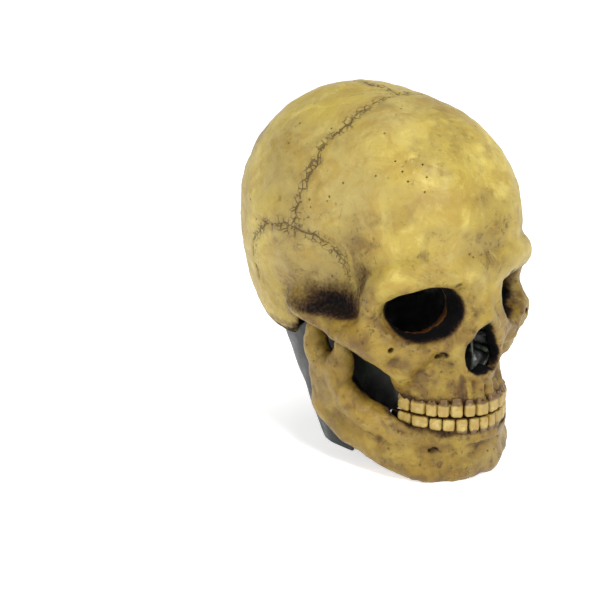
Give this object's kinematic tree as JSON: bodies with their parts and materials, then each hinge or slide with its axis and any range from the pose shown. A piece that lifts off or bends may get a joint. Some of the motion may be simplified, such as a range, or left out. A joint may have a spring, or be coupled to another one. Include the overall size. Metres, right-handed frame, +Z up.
{
  "type": "latex skull mask",
  "caption": "Full-head latex costume mask shaped as a bone-yellow skull with jaw, open eye holes, black cheek and neck panels, rear slit with flaps and foam fit pads.",
  "frame": {"origin": "middle of the mask's footprint, on the plane that the neck rim and chin rest on", "axes": "+Z up through the crown, the face looks along -Y, +X is the wearer's left"},
  "size_m": [0.1832, 0.2415, 0.2746],
  "materials": {
    "bone_latex": "satin, painted bone yellow with brown staining",
    "tooth_latex": "satin, painted",
    "black_latex": "satin black",
    "gauze": "woven cotton set in latex",
    "foam": "open-cell foam"
  },
  "bodies": {
    "skull": {"skull_skin": "bone_latex", "upper_teeth": "tooth_latex", "nose_cup": "black_latex", "right_side_panel": "black_latex", "left_side_panel": "black_latex", "slit_patch": "gauze", "forehead_pad": "foam", "crown_pad": "foam", "nape_pad": "foam", "right_temple_pad": "foam", "left_temple_pad": "foam"},
    "jaw": {"jaw_skin": "bone_latex", "lower_teeth": "tooth_latex", "chin_pad": "foam"},
    "right_flap": {"right_neck_flap": "black_latex"},
    "left_flap": {"left_neck_flap": "black_latex"}
  },
  "joints": [
    {"name": "jaw_flex", "type": "hinge", "parent": "skull", "child": "jaw", "pos_m": [0, -0.008, 0.116], "axis": [1, 0, 0], "range_deg": [0, 8], "stiffness_Nm_per_rad": 1.5, "springref_deg": -3.44},
    {"name": "right_flap_fold", "type": "hinge", "parent": "skull", "child": "right_flap", "pos_m": [-0.038, 0.05939, 0.06], "axis": [0, 0.4572, 0.8894], "range_deg": [0, 45], "stiffness_Nm_per_rad": 0.05, "springref_deg": -2.86},
    {"name": "left_flap_fold", "type": "hinge", "parent": "skull", "child": "left_flap", "pos_m": [0.038, 0.05939, 0.06], "axis": [0, -0.4572, -0.8894], "range_deg": [0, 45], "stiffness_Nm_per_rad": 0.05, "springref_deg": -2.86}
  ]
}
